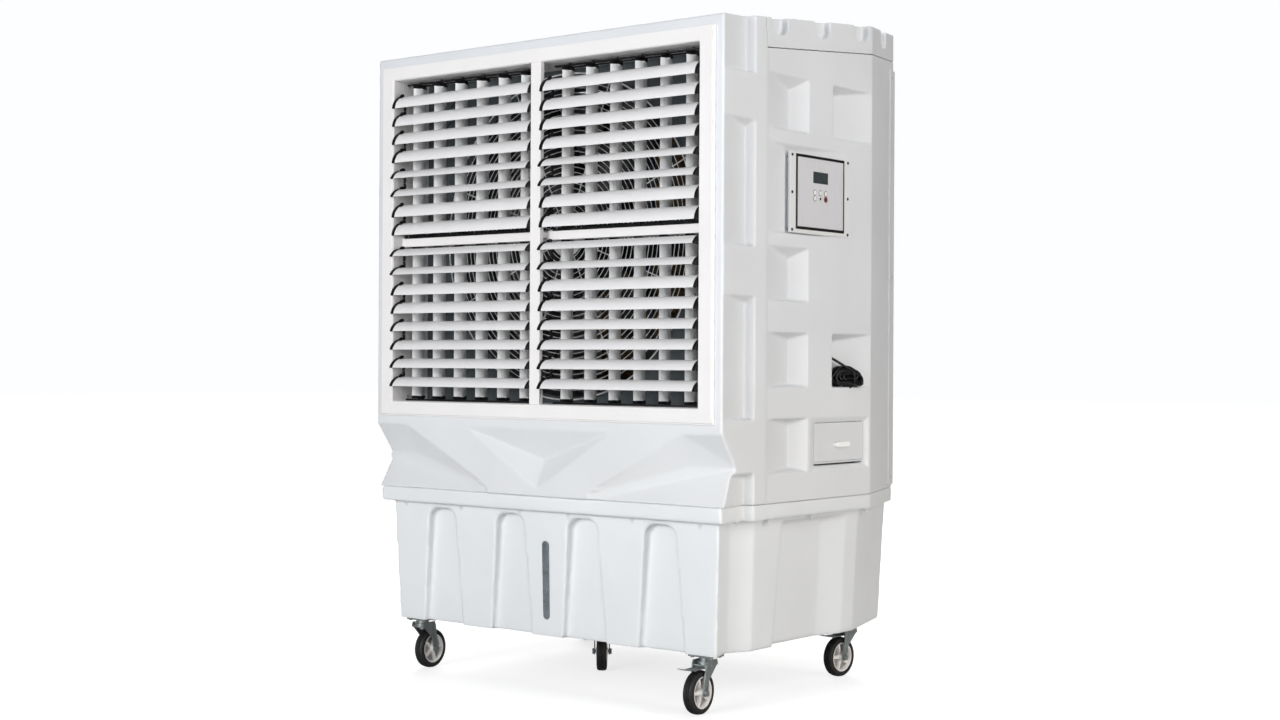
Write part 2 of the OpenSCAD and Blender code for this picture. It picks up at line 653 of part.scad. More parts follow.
// half profile of a wheel [radius, along axle]
wheel_half = [[5.1, -20], [12, -20], [12, -13], [38, -13], [44, -16], [wheel_r - 5, -16],
  [wheel_r - 1, -11], [wheel_r, -4]];
module wheel(i) color("#1b1b1c") at_caster(i) translate([trail, 0, wheel_r])
  rotate([90, 0, 0]) rotate_extrude($fn = 96)
    polygon(concat(wheel_half, [for (k = [7:-1:0]) [wheel_half[k][0], -wheel_half[k][1]]]));
module brake_pedal(i) color("#98a1a5") at_caster(i) {
  translate([pedal_x, 0, pedal_z]) {
    ycyl(4, -19, 19);
    ycyl(3, -24.5, 24.5);
  }
  box([20, -19, 130], [92, 19, 132]);
  translate([92, 0, pedal_z]) rotate([0, -16, 0]) box([-3, -25, -1], [22, 25, 1]);
}

main_housing();
top_cover();
water_tank();
louver_frame();
fan_shroud();
fan_guard();
fan_motor();
fan_rotor();
cooling_pad();
rear_grille();
control_panel();
caster_plates();
water_pump();
access_hatch();
blade_row(0);  // blade_row_1
blade_row(1);  // blade_row_2
blade_row(2);  // blade_row_3
blade_row(3);  // blade_row_4
blade_row(4);  // blade_row_5
blade_row(5);  // blade_row_6
blade_row(6);  // blade_row_7
blade_row(7);  // blade_row_8
blade_row(8);  // blade_row_9
blade_row(9);  // blade_row_10
blade_row(10);  // blade_row_11
blade_row(11);  // blade_row_12
blade_row(12);  // blade_row_13
blade_row(13);  // blade_row_14
blade_row(14);  // blade_row_15
blade_row(15);  // blade_row_16
vane(0);  // vane_1
vane(1);  // vane_2
vane(2);  // vane_3
vane(3);  // vane_4
vane(4);  // vane_5
vane(5);  // vane_6
vane(6);  // vane_7
vane(7);  // vane_8
vane(8);  // vane_9
vane(9);  // vane_10
vane(10);  // vane_11
vane(11);  // vane_12
vane_link_bars();
fork(0);  // caster_fork_fl
fork(1, braked = true);  // caster_fork_fr
fork(2);  // caster_fork_rl
fork(3, braked = true);  // caster_fork_rr
fork(4);  // caster_fork_mid
wheel(0);  // wheel_fl
wheel(1);  // wheel_fr
wheel(2);  // wheel_rl
wheel(3);  // wheel_rr
wheel(4);  // wheel_mid
brake_pedal(1);  // brake_pedal_fr
brake_pedal(3);  // brake_pedal_rr
key(0);  // key_1
key(1);  // key_2
key(2);  // key_3
key(3);  // key_4
key(4);  // key_power
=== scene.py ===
# A wheeled air cooler: a cabinet with a louvred air outlet and fan in front, a cooling pad
# and grille behind, a water tank below and a control panel on the side wall at +x.
# It stands on z = 0, faces -y, and x runs across it. Meshes are in metres; places given
# through place() are in mm from the cabinet's front plane and centre plane.
import json
import math
import random

import bmesh
import bpy
from mathutils import Matrix, Vector

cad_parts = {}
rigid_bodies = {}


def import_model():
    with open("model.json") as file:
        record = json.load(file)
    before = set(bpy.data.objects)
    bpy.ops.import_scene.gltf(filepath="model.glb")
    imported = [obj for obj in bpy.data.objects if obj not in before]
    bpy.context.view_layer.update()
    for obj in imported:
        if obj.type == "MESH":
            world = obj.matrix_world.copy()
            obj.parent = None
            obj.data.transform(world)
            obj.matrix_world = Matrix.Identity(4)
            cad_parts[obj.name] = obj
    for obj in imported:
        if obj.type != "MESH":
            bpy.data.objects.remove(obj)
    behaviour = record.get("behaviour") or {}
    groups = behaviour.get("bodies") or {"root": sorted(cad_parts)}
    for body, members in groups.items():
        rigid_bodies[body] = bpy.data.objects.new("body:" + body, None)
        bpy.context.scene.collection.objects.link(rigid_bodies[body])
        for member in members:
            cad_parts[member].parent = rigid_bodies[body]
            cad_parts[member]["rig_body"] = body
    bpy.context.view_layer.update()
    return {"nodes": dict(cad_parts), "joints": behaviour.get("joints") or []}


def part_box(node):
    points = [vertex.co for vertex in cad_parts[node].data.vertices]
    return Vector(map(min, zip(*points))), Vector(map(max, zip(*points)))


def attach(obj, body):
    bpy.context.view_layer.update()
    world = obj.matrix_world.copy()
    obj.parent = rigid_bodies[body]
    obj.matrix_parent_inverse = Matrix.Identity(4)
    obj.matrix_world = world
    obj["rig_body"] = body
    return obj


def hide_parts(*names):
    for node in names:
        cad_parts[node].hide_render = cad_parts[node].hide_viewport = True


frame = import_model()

joints = {joint["name"]: joint for joint in frame["joints"]}
nodes = frame["nodes"]

FAN_DEPTH = 0.240                                   # m, fan joint behind the front plane
ORIGIN_X = joints["fan_spin"]["pos_m"][0]
ORIGIN_Y = joints["fan_spin"]["pos_m"][1] - FAN_DEPTH
WALL_X = 688.0                                      # mm, side wall that carries the panel
KEY_Y = (452, 481, 510)                             # mm, columns of keys on the panel
KEY_Z = (1498, 1481)                                # mm, upper and lower row of keys
WHEELS = ("fl", "fr", "rl", "rr", "mid")
BLACK = (0.005, 0.005, 0.006)


def place(x, y, z):
    """A point in metres from mm in the cabinet's frame."""
    return Vector((x / 1000 + ORIGIN_X, y / 1000 + ORIGIN_Y, z / 1000))


# ------------------------------------------------------------------ shader helpers
class Shader:
    """A new material's node tree, with shorthands for the nodes used here."""

    def __init__(self, name):
        self.material = bpy.data.materials.new(name)
        self.material.use_nodes = True
        self.tree = self.material.node_tree
        self.bsdf = self.tree.nodes["Principled BSDF"]
        self.coords = self.node("TexCoord").outputs["Object"]

    def node(self, kind, **settings):
        made = self.tree.nodes.new("ShaderNode" + kind)
        for key, value in settings.items():
            setattr(made, key, value)
        return made

    def feed(self, socket, value):
        """Give a socket a number, an RGB colour or another node's output."""
        if isinstance(value, (int, float)):
            socket.default_value = value
        elif isinstance(value, tuple):
            socket.default_value = (*value, 1)
        else:
            self.tree.links.new(value, socket)

    def set(self, name, value):
        self.feed(self.bsdf.inputs[name], value)

    def math(self, operation, *values, clamp=False):
        made = self.node("Math", operation=operation, use_clamp=clamp)
        for socket, value in zip(made.inputs, values):
            self.feed(socket, value)
        return made.outputs[0]

    def between(self, value, low, high):
        return self.math("MULTIPLY", self.math("GREATER_THAN", value, low),
                         self.math("LESS_THAN", value, high))

    def xyz(self):
        made = self.node("SeparateXYZ")
        self.feed(made.inputs[0], self.coords)
        return made.outputs

    def stretched(self, scale):
        made = self.node("Mapping")
        made.inputs["Scale"].default_value = scale
        self.feed(made.inputs["Vector"], self.coords)
        return made.outputs[0]

    def noise(self, scale, detail=3.0, rough=0.5, coords=None):
        made = self.node("TexNoise")
        made.inputs["Scale"].default_value = scale
        made.inputs["Detail"].default_value = detail
        made.inputs["Roughness"].default_value = rough
        self.feed(made.inputs["Vector"], coords or self.coords)
        return made.outputs["Fac"]

    def ramp(self, factor, stops):
        made = self.node("ValToRGB")
        elements = made.color_ramp.elements
        while len(elements) > 1:
            elements.remove(elements[-1])
        elements[0].position = stops[0][0]
        elements[0].color = (*stops[0][1], 1)
        for position, colour in stops[1:]:
            elements.new(position).color = (*colour, 1)
        self.feed(made.inputs[0], factor)
        return made.outputs["Color"]

    def tones(self, factor, colour, down, up=None):
        """From a darker to a lighter tone of a colour, by the shares down and up."""
        up = down if up is None else up
        dark = tuple(c * (1 - down) for c in colour)
        light = tuple(min(1, c * (1 + up)) for c in colour)
        return self.ramp(factor, [(0.3, dark), (0.7, light)])

    def mix(self, factor, first, second):
        made = self.node("Mix", data_type="RGBA")
        for name, kind, value in (("Factor", "VALUE", factor), ("A", "RGBA", first),
                                  ("B", "RGBA", second)):
            self.feed(next(s for s in made.inputs if s.name == name and s.type == kind), value)
        return next(s for s in made.outputs if s.type == "RGBA")

    def roughness(self, factor, low, high):
        made = self.node("MapRange")
        made.inputs["To Min"].default_value = low
        made.inputs["To Max"].default_value = high
        self.feed(made.inputs["Value"], factor)
        self.set("Roughness", made.outputs[0])

    def bump(self, height, strength, distance):
        made = self.node("Bump")
        made.inputs["Strength"].default_value = strength
        made.inputs["Distance"].default_value = distance
        self.feed(made.inputs["Height"], height)
        self.set("Normal", made.outputs["Normal"])


# ------------------------------------------------------------------ materials
def plastic(name, colour, roughness=0.42, grain=900, grain_height=0.00006, variation=0.035,
            specular=0.45, mottle=3.0, warm=None):
    """Moulded plastic: slow mottle, fine orange peel and uneven gloss.
    warm is a colour for the foot and the height in metres where it has faded out."""
    shader = Shader(name)
    colour = shader.tones(shader.noise(mottle, 4, 0.55), colour, variation)
    if warm:
        warm_colour, fade_height = warm
        height = shader.math("DIVIDE", shader.xyz()[2], fade_height)
        low = shader.math("SUBTRACT", 1.0, height, clamp=True)
        colour = shader.mix(shader.math("MULTIPLY", low, 0.8), colour, warm_colour)
    shader.set("Base Color", colour)
    shader.roughness(shader.noise(mottle * 9), roughness - 0.07, roughness + 0.09)
    shader.set("Specular IOR Level", specular)
    shader.bump(shader.noise(grain, 2), strength=0.5, distance=grain_height)
    return shader.material


def metal(name, colour, roughness=0.35, streak=(1, 1, 1), scale=60, metallic=1.0,
          variation=0.12):
    """Rolled or plated metal: stretched noise drives colour, roughness and relief."""
    shader = Shader(name)
    streaks = shader.noise(scale, 5, 0.6, shader.stretched(streak))
    shader.set("Base Color", shader.tones(streaks, colour, variation))
    shader.roughness(streaks, roughness - 0.08, roughness + 0.12)
    shader.set("Metallic", metallic)
    shader.bump(streaks, strength=0.4, distance=0.00003)
    return shader.material


def two_tone(name, colour, mask, other=BLACK):
    """A moulding with parts in another colour, told apart by where they lie."""
    shader = Shader(name)
    colour = shader.tones(shader.noise(6, 4), colour, 0.02)
    shader.set("Base Color", shader.mix(mask(shader), colour, other))
    shader.roughness(shader.noise(60), 0.28, 0.44)
    shader.bump(shader.noise(1500, 2), strength=0.5, distance=0.00002)
    return shader.material


def vane_mask(shader):
    """Black outside the two white lengths of a vane, in metres of height."""
    z = shader.xyz()[2]
    white = shader.math("ADD", shader.between(z, 0.882, 1.348),
                        shader.between(z, 1.402, 1.8685))
    return shader.math("SUBTRACT", 1.0, white, clamp=True)


def row_mask(shader):
    """Black outside the white lengths of a blade row, in metres from the centre plane."""
    x = shader.math("ABSOLUTE", shader.math("SUBTRACT", shader.xyz()[0], ORIGIN_X))
    return shader.math("SUBTRACT", 1.0, shader.between(x, 0.0246, 0.6020), clamp=True)


def hatch_mask(shader):
    """The parts of the hatch more than 11 mm inside the side wall."""
    x = shader.math("SUBTRACT", shader.xyz()[0], ORIGIN_X)
    return shader.math("LESS_THAN", x, (WALL_X - 11.0) / 1000)


def pad_cellulose():
    shader = Shader("pad_cellulose")
    shader.set("Base Color", shader.ramp(shader.noise(45, 5, 0.65), [
        (0.3, (0.115, 0.062, 0.024)), (0.55, (0.17, 0.10, 0.045)), (0.8, (0.23, 0.15, 0.075))]))
    shader.set("Roughness", 0.9)
    shader.bump(shader.noise(700, 4), strength=0.8, distance=0.0003)
    return shader.material


def tyre_rubber():
    shader = Shader("tyre_rubber")
    shader.set("Base Color", shader.ramp(shader.noise(90, 5, 0.6), [
        (0.35, (0.004, 0.004, 0.0045)), (0.7, (0.012, 0.0115, 0.011))]))
    shader.roughness(shader.noise(30, 4), 0.45, 0.75)
    shader.bump(shader.noise(800), strength=0.7, distance=0.0001)
    return shader.material


def panel_layers():
    """White bezel, black border and brushed silver plate, by height above the side wall."""
    border_height, plate_height = 4.1, 5.6          # mm
    dot_radius = 0.0042                             # m, dark dot in the lower row of keys
    shader = Shader("panel_layers")
    coords = shader.xyz()
    x = shader.math("SUBTRACT", coords[0], ORIGIN_X)
    y = shader.math("SUBTRACT", coords[1], ORIGIN_Y)
    brushing = shader.noise(1800, 3, 0.7, shader.stretched((1, 1, 0.02)))
    silver = shader.ramp(brushing, [(0.3, (0.66, 0.665, 0.695)), (0.7, (0.78, 0.785, 0.81))])
    border = shader.math("GREATER_THAN", x, (WALL_X + border_height) / 1000)
    plate = shader.math("GREATER_THAN", x, (WALL_X + plate_height) / 1000)
    colour = shader.mix(border, (0.72, 0.73, 0.735), (0.006, 0.006, 0.007))
    colour = shader.mix(plate, colour, silver)
    squares = [shader.math("POWER", shader.math("SUBTRACT", along, centre / 1000), 2.0)
               for along, centre in ((y, KEY_Y[1]), (coords[2], KEY_Z[1]))]
    dot = shader.math("LESS_THAN", shader.math("ADD", *squares), dot_radius ** 2)
    shader.set("Base Color", shader.mix(dot, colour, (0.01, 0.008, 0.01)))
    shader.set("Metallic", shader.math("MULTIPLY", plate, 0.15))
    shader.roughness(brushing, 0.30, 0.46)
    shader.bump(brushing, strength=0.3, distance=0.00002)
    return shader.material


def glassy(name, colour, roughness=0.12):
    shader = Shader(name)
    shader.set("Base Color", shader.tones(shader.noise(25), colour, down=0.15, up=0.12))
    shader.roughness(shader.noise(120), roughness * 0.7, roughness * 1.6)
    shader.set("Coat Weight", 0.5)
    shader.set("Coat Roughness", 0.08)
    return shader.material


finish = {
    "housing": plastic("housing_plastic", (0.70, 0.72, 0.745), roughness=0.44,
                       warm=((0.74, 0.74, 0.73), 1.2)),
    "cover": plastic("cover_plastic", (0.705, 0.725, 0.75), roughness=0.44),
    "tank": plastic("tank_plastic", (0.755, 0.775, 0.785), roughness=0.46, mottle=2.2),
    "frame": plastic("frame_coat", (0.83, 0.815, 0.81), roughness=0.36, grain=1400,
                     grain_height=0.00003, variation=0.02, mottle=5),
    "blade": plastic("blade_white", (0.80, 0.81, 0.825), roughness=0.34, grain=1500,
                     grain_height=0.00002, variation=0.02, mottle=6),
    "black": plastic("black_nylon", BLACK, grain=1200, variation=0.2, specular=0.25,
                     mottle=20),
    "shroud": plastic("shroud_paint", (0.062, 0.074, 0.08), grain=700,
                      grain_height=0.00008, variation=0.08, mottle=7),
    "wire": metal("coated_wire", (0.86, 0.87, 0.87), roughness=0.4, scale=220, metallic=0.25),
    "motor": plastic("motor_paint", (0.015, 0.018, 0.02), roughness=0.5, grain=400,
                     grain_height=0.0002, variation=0.15, mottle=25),
    "rotor": plastic("rotor_nylon", (0.005, 0.0055, 0.006), roughness=0.48, grain=600,
                     variation=0.2, mottle=12),
    "zinc": metal("zinc_plate", (0.30, 0.33, 0.33), roughness=0.36, streak=(1, 1, 0.35),
                  scale=90, variation=0.25, metallic=0.8),
    "steel": metal("screw_steel", (0.55, 0.56, 0.57), roughness=0.32, scale=400),
    "pump": plastic("pump_casing", (0.02, 0.06, 0.12), roughness=0.4, mottle=15),
    "dark_steel": metal("black_screw", (0.06, 0.06, 0.065), roughness=0.4, scale=500,
                        metallic=0.6),
    "key_dark": plastic("key_dark", (0.09, 0.045, 0.05), roughness=0.35, grain=2500,
                        grain_height=0.00001, mottle=60),
    "key": plastic("key_white", (0.82, 0.82, 0.80), roughness=0.3, grain=2500,
                   grain_height=0.00001, mottle=60),
    "hub": plastic("wheel_hub", (0.84, 0.82, 0.80), roughness=0.38,
                   grain_height=0.00008, variation=0.08, mottle=40),
    # painted shade: the web between the spokes is dark grey so that the pockets between the spokes
    # read as shadowed
    "hub_web_shade": plastic("painted_shade_wheel_web", (0.26, 0.255, 0.25), roughness=0.5,
                       grain_height=0.00008, variation=0.1, mottle=40),
    "cord": plastic("cord_rubber", (0.004, 0.004, 0.0045), roughness=0.36, grain=1500,
                    variation=0.25, mottle=40, specular=0.4),
    "hatch": two_tone("hatch_plastic", (0.95, 0.95, 0.94), hatch_mask,
                      other=(0.70, 0.715, 0.73)),
    "vane": two_tone("vane_white", (0.92, 0.92, 0.92), vane_mask),
    "row": two_tone("row_white", (0.82, 0.815, 0.82), row_mask),
    "pad": pad_cellulose(),
    "tyre": tyre_rubber(),
    "panel": panel_layers(),
    "display": glassy("display_glass", (0.045, 0.055, 0.06)),
    "level": glassy("level_window", (0.14, 0.165, 0.18), roughness=0.25),
    "red": plastic("key_red_ring", (0.45, 0.06, 0.08), roughness=0.35, mottle=60),
}


# ------------------------------------------------------------------ mesh helpers
def add_object(name, data):
    made = bpy.data.objects.new(name, data)
    bpy.context.scene.collection.objects.link(made)
    return made


def coat(mesh, material):
    mesh.materials.clear()
    mesh.materials.append(finish[material])


def modify(target, name, kind, **settings):
    modifier = target.modifiers.new(name, kind)
    for key, value in settings.items():
        setattr(modifier, key, value)


def finish_piece(name, mesh, material, body, angle):
    """An object with its finish, smooth but for edges sharper than angle, on its body."""
    made = add_object(name, mesh)
    coat(mesh, material)
    for face in mesh.polygons:
        face.use_smooth = True
    mesh.set_sharp_from_angle(angle=math.radians(angle))
    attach(made, body)
    return made


def matrix_of(origin, x, y, z):
    """The frame with these axes and origin."""
    matrix = Matrix((x, y, z)).transposed().to_4x4()
    matrix.translation = origin
    return matrix


def axes(origin, z, x=None):
    """A frame with local Z along z, and local X as near to x as that allows."""
    z = Vector(z).normalized()
    if x is None:
        x = (0, 0, 1) if abs(z.z) < 0.9 else (1, 0, 0)
    x = Vector(x)
    x = (x - z * x.dot(z)).normalized()
    return matrix_of(origin, x, z.cross(x), z)


def rounded_rect(width, height, radius, steps=5):
    points = []
    for side_x, side_y, start in ((1, 1, 0), (-1, 1, 90), (-1, -1, 180), (1, -1, 270)):
        for k in range(steps + 1):
            angle = math.radians(start + 90 * k / steps)
            points.append((side_x * (width / 2 - radius) + radius * math.cos(angle),
                           side_y * (height / 2 - radius) + radius * math.sin(angle)))
    return points


def inset(outline, distance):
    """The outline moved to the left of its direction of travel, with limited mitres."""
    points = []
    for i, point in enumerate(outline):
        before, here = Vector(outline[i - 1]), Vector(point)
        after = Vector(outline[(i + 1) % len(outline)])
        edge_in, edge_out = (here - before).normalized(), (after - here).normalized()
        normal_in = Vector((-edge_in.y, edge_in.x))
        normal_out = Vector((-edge_out.y, edge_out.x))
        mitre = normal_in + normal_out
        if mitre.length >= 1e-6:
            mitre.normalize()
            here = here + mitre * (distance / max(0.35, mitre.dot(normal_in)))
        points.append(here)
    return points


def turns(count):
    """Equally spaced angles round a full turn."""
    return [2 * math.pi * k / count for k in range(count)]


# A pan head with a cross recess, from the seat over the rim and down into the cross:
# height as a share of the head's, radius share along the cross's arms, and between them
SCREW_LOOPS = ((0.0, 1.0, 1.0), (0.45, 0.98, 0.98), (0.8, 0.86, 0.86), (1.0, 0.62, 0.62),
               (1.0, 0.50, 0.17), (0.25, 0.40, 0.12))


class Shape:
    """A mesh put together from simple solids and then built as one object."""

    def __init__(self):
        self.mesh = bmesh.new()

    def loop(self, points):
        return [self.mesh.verts.new(point) for point in points]

    def skin(self, loops, wrap=False, closed=True):
        """Quads between loops. wrap joins the last loop to the first one, closed joins
        the two ends of each loop."""
        for first, second in zip(loops, loops[1:] + (loops[:1] if wrap else [])):
            count = len(first)
            for i in range(count if closed else count - 1):
                j = (i + 1) % count
                self.mesh.faces.new((first[i], first[j], second[j], second[i]))

    def cap(self, loops):
        self.mesh.faces.new(loops[0][::-1])
        self.mesh.faces.new(loops[-1])

    def lathe(self, profile, matrix, steps=64, closed=True):
        """Turns (radius, along) pairs about the local Z axis."""
        loops = [self.loop(matrix @ Vector((radius * math.cos(a), radius * math.sin(a), along))
                           for radius, along in profile) for a in turns(steps)]
        self.skin(loops, wrap=True, closed=closed)

    def tube(self, points, radius, sides=10, closed=False):
        """Round wire along points, with frames carried along so that it doesn't twist."""
        points = [Vector(point) for point in points]
        count = len(points)
        loops, up = [], None
        for i, point in enumerate(points):
            if closed:
                along = points[(i + 1) % count] - points[i - 1]
            else:
                along = points[min(i + 1, count - 1)] - points[max(i - 1, 0)]
            along.normalize()
            if up is None:
                up = Vector((0, 0, 1)) if abs(along.z) < 0.9 else Vector((1, 0, 0))
            side = along.cross(up).normalized()
            up = side.cross(along).normalized()
            loops.append(self.loop(point + (side * math.cos(a) + up * math.sin(a)) * radius
                                   for a in turns(sides)))
        self.skin(loops, wrap=closed)
        if not closed:
            self.cap(loops)

    def ring(self, centre, radius, wire_radius, steps, sides):
        """A wire ring about the Y axis."""
        loops = []
        for a in turns(steps):
            outward = Vector((math.cos(a), 0, math.sin(a)))
            point = centre + Vector((radius * math.cos(a), 0, radius * math.sin(a)))
            loops.append(self.loop(
                point + (outward * math.cos(b) + Vector((0, 1, 0)) * math.sin(b)) * wire_radius
                for b in turns(sides)))
        self.skin(loops, wrap=True)

    def prism(self, outline, matrix, low, high, bevel=0.0, steps=2):
        """Local XY outline pushed from low to high along local Z, with rounded rims."""
        area = sum(here[0] * after[1] - after[0] * here[1]
                   for here, after in zip(outline, outline[1:] + outline[:1]))
        inward = 1 if area > 0 else -1
        levels = [(0, low), (0, high)]
        if bevel > 0:
            rim = []
            for k in range(steps + 1):
                angle = math.pi / 2 * k / steps
                rim.append((bevel * (1 - math.sin(angle)) * inward,
                            bevel * (1 - math.cos(angle))))
            levels = [(shift, low + rise) for shift, rise in rim]
            levels += [(shift, high - rise) for shift, rise in reversed(rim)]
        loops = [self.loop(matrix @ Vector((point[0], point[1], height))
                           for point in inset(outline, shift)) for shift, height in levels]
        self.skin(loops)
        self.cap(loops)

    def screw(self, position, axis, radius, height):
        matrix = axes(position, axis)
        loops = []
        for rise, arm_share, gap_share in SCREW_LOOPS:
            points = []
            for a in turns(32):
                reach = radius * (arm_share if abs(math.cos(2 * a)) > 0.86 else gap_share)
                points.append(matrix @ Vector((reach * math.cos(a), reach * math.sin(a),
                                               height * rise)))
            loops.append(self.loop(points))
        self.skin(loops)
        self.mesh.faces.new(loops[-1])
        self.mesh.faces.new(loops[0][::-1])

    def build(self, name, material, body="cabinet", angle=35):
        data = bpy.data.meshes.new(name)
        bmesh.ops.remove_doubles(self.mesh, verts=self.mesh.verts, dist=1e-6)
        bmesh.ops.recalc_face_normals(self.mesh, faces=self.mesh.faces)
        self.mesh.to_mesh(data)
        self.mesh.free()
        return finish_piece(name, data, material, body, angle)


# ------------------------------------------------------------------ CAD pieces
def welded_copy(node, dissolve=False):
    """A copy of a CAD mesh with its seams closed and, if asked, its flat faces merged."""
    data = nodes[node].data.copy()
    mesh = bmesh.new()
    mesh.from_mesh(data)
    bmesh.ops.remove_doubles(mesh, verts=mesh.verts, dist=2e-6)
    if dissolve:
        bmesh.ops.dissolve_limit(mesh, angle_limit=math.radians(0.6),
                                 use_dissolve_boundaries=False,
                                 verts=mesh.verts, edges=mesh.edges)
        mesh.normal_update()
    mesh.to_mesh(data)
    mesh.free()
    return data


def clear_shading(mesh):
    for name in ("custom_normal", "sharp_face", "sharp_edge"):
        if mesh.attributes.get(name):
            mesh.attributes.remove(mesh.attributes[name])


def dress(node, material):
    """A CAD node that is shown as it is, with its own finish."""
    mesh = nodes[node].data
    coat(mesh, material)
    for face in mesh.polygons:
        face.material_index = 0


def soften(node, material, width):
    """Stands for a CAD shell, with its edges rounded as a moulding's are."""
    mesh = welded_copy(node, dissolve=True)
    clear_shading(mesh)
    shell = add_object(node + "_shell", mesh)
    coat(mesh, material)
    for face in mesh.polygons:
        face.use_smooth = True
        face.material_index = 0
    modify(shell, "rounded", "BEVEL", width=width, segments=2, limit_method="ANGLE",
           angle_limit=math.radians(24), use_clamp_overlap=False, harden_normals=True,
           miter_outer="MITER_SHARP")
    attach(shell, nodes[node]["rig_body"])
    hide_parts(node)


def moulded(node, material, voxel, rounds, ratio):
    """Stands for a CAD shell, with every edge rolled over as on a blow
    moulding: remeshed, relaxed and thinned out."""
    source = add_object("tmp", welded_copy(node))
    modify(source, "r", "REMESH", mode="VOXEL", voxel_size=voxel)
    modify(source, "s", "SMOOTH", factor=0.5, iterations=rounds)
    modify(source, "d", "DECIMATE", ratio=ratio)
    evaluated = source.evaluated_get(bpy.context.evaluated_depsgraph_get())
    mesh = bpy.data.meshes.new_from_object(evaluated)
    bpy.data.objects.remove(source)
    clear_shading(mesh)
    shell = finish_piece(node + "_shell", mesh, material, nodes[node]["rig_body"], 40)
    modify(shell, "w", "WEIGHTED_NORMAL", keep_sharp=True, weight=70)
    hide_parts(node)


def cabinet():
    moulded("main_housing", "housing", voxel=0.004, rounds=3, ratio=0.10)
    moulded("top_cover", "cover", voxel=0.004, rounds=3, ratio=0.12)
    moulded("water_tank", "tank", voxel=0.005, rounds=5, ratio=0.12)
    soften("louver_frame", "frame", 0.0008)
    soften("access_hatch", "hatch", 0.0010)
    soften("rear_grille", "housing", 0.0006)
    soften("control_panel", "panel", 0.0005)


def dressed_nodes():
    """The CAD nodes shown as they are, by finish."""
    groups = {
        "shroud": ["fan_shroud"], "motor": ["fan_motor"], "rotor": ["fan_rotor"],
        "pump": ["water_pump"], "black": ["vane_link_bars"], "key_dark": ["key_power"],
        "row": [f"blade_row_{k}" for k in range(1, 17)],
        "vane": [f"vane_{k}" for k in range(1, 13)],
        "key": [f"key_{k}" for k in range(1, 5)],
        "zinc": ["caster_plates", "brake_pedal_fr", "brake_pedal_rr"]
                + [f"caster_fork_{wheel}" for wheel in WHEELS],
    }
    for material, names in groups.items():
        for node in names:
            dress(node, material)


# ------------------------------------------------------------------ fan guard
def fan_guard():
    centre = place(0, 132, 1376)
    shape = Shape()
    radius = 0.070
    while radius < 0.486:
        shape.ring(centre, radius, 0.0013, steps=112, sides=6)
        radius += 0.016
    shape.ring(centre, 0.498, 0.0025, steps=128, sides=8)

    def outward(degrees):
        return Vector((math.cos(math.radians(degrees)), 0, -math.sin(math.radians(degrees))))

    for k in range(8):
        spoke = [centre + Vector((0, 0.0031, 0)) + outward(k * 45 + 20) * reach
                 for reach in (0.050, 0.27, 0.512)]
        shape.tube(spoke, 0.002, sides=8)
    # centre disc: (radius, along)
    disc = [(0.0, 0.0), (0.060, 0.0), (0.062, 0.001), (0.062, 0.0045), (0.060, 0.0055),
            (0.0, 0.0055)]
    shape.lathe(disc, axes(centre + Vector((0, 0.0012, 0)), (0, 1, 0)), closed=False)
    # lugs on every other spoke
    for k in range(4):
        side = outward(k * 90 + 20)
        shape.prism(rounded_rect(0.018, 0.018, 0.003), axes(centre + side * 0.505, (0, 1, 0), side),
                    0.0005, 0.0158, bevel=0.0008)
    guard = shape.build("fan_guard_wires", "wire", angle=50)
    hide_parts("fan_guard")


# ------------------------------------------------------------------ cooling pad
def cooling_pad():
    """A block whose two large faces are fluted, leaning alternately up and down."""
    columns, rows = 140, 220
    pitch, half_depth = 0.014, 0.0035

    def triangle_wave(turn):
        turn = turn % 1.0
        return 4 * turn - 1 if turn < 0.5 else 3 - 4 * turn

    low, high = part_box("cooling_pad")
    shape = Shape()
    new_face = shape.mesh.faces.new
    grids = []
    for face_y, inward in ((low.y, 1), (high.y, -1)):
        grid = []
        for c in range(columns + 1):
            x = low.x + (high.x - low.x) * c / columns
            line = []
            for r in range(rows + 1):
                z = low.z + (high.z - low.z) * r / rows
                lean = (z / pitch) * (1 if c % 2 else -1) * 0.5
                depth = half_depth * (1 + triangle_wave(lean + (0.25 if c % 2 else 0.0)))
                line.append((x, face_y + inward * depth, z))
            grid.append(shape.loop(line))
        for c in range(columns):
            for r in range(rows):
                quad = (grid[c][r], grid[c + 1][r], grid[c + 1][r + 1], grid[c][r + 1])
                new_face(quad if inward > 0 else quad[::-1])
        grids.append(grid)
    front, back = grids
    for c in range(columns):
        new_face((front[c][0], back[c][0], back[c + 1][0], front[c + 1][0]))
        new_face((front[c][rows], front[c + 1][rows], back[c + 1][rows], back[c][rows]))
    for r in range(rows):
        new_face((front[0][r], front[0][r + 1], back[0][r + 1], back[0][r]))
        new_face((front[columns][r], back[columns][r], back[columns][r + 1],
                  front[columns][r + 1]))
    pad = shape.build("cooling_pad_flutes", "pad", angle=20)
    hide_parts("cooling_pad")


# ------------------------------------------------------------------ blade rows and vanes
BLADE_CHORD, VANE_CHORD = 58.0, 56.0    # mm
CAMBER = 10                             # mm, rise of the bowed side over its chord
CHORD_DROP = 4.6                        # mm, from the pivot down to the chord
LOWEST_ROW_TILT = -35                   # degrees, at the low end of a row's joint range
# ends of the cap in mm, and whether it is at its blade's -x end
ROW_CAPS = ((-611.2, -600.0, True), (-28.0, -20.7, False),
            (20.7, 31.9, True), (602.0, 611.2, False))
# bottom and top of the cap in mm, and its margin over the vane
VANE_CAPS = ((873.6, 882.5, 2.2), (1347.0, 1358.8, 1.4),
             (1390.4, 1404.0, 1.4), (1868.0, 1877.4, 2.2))


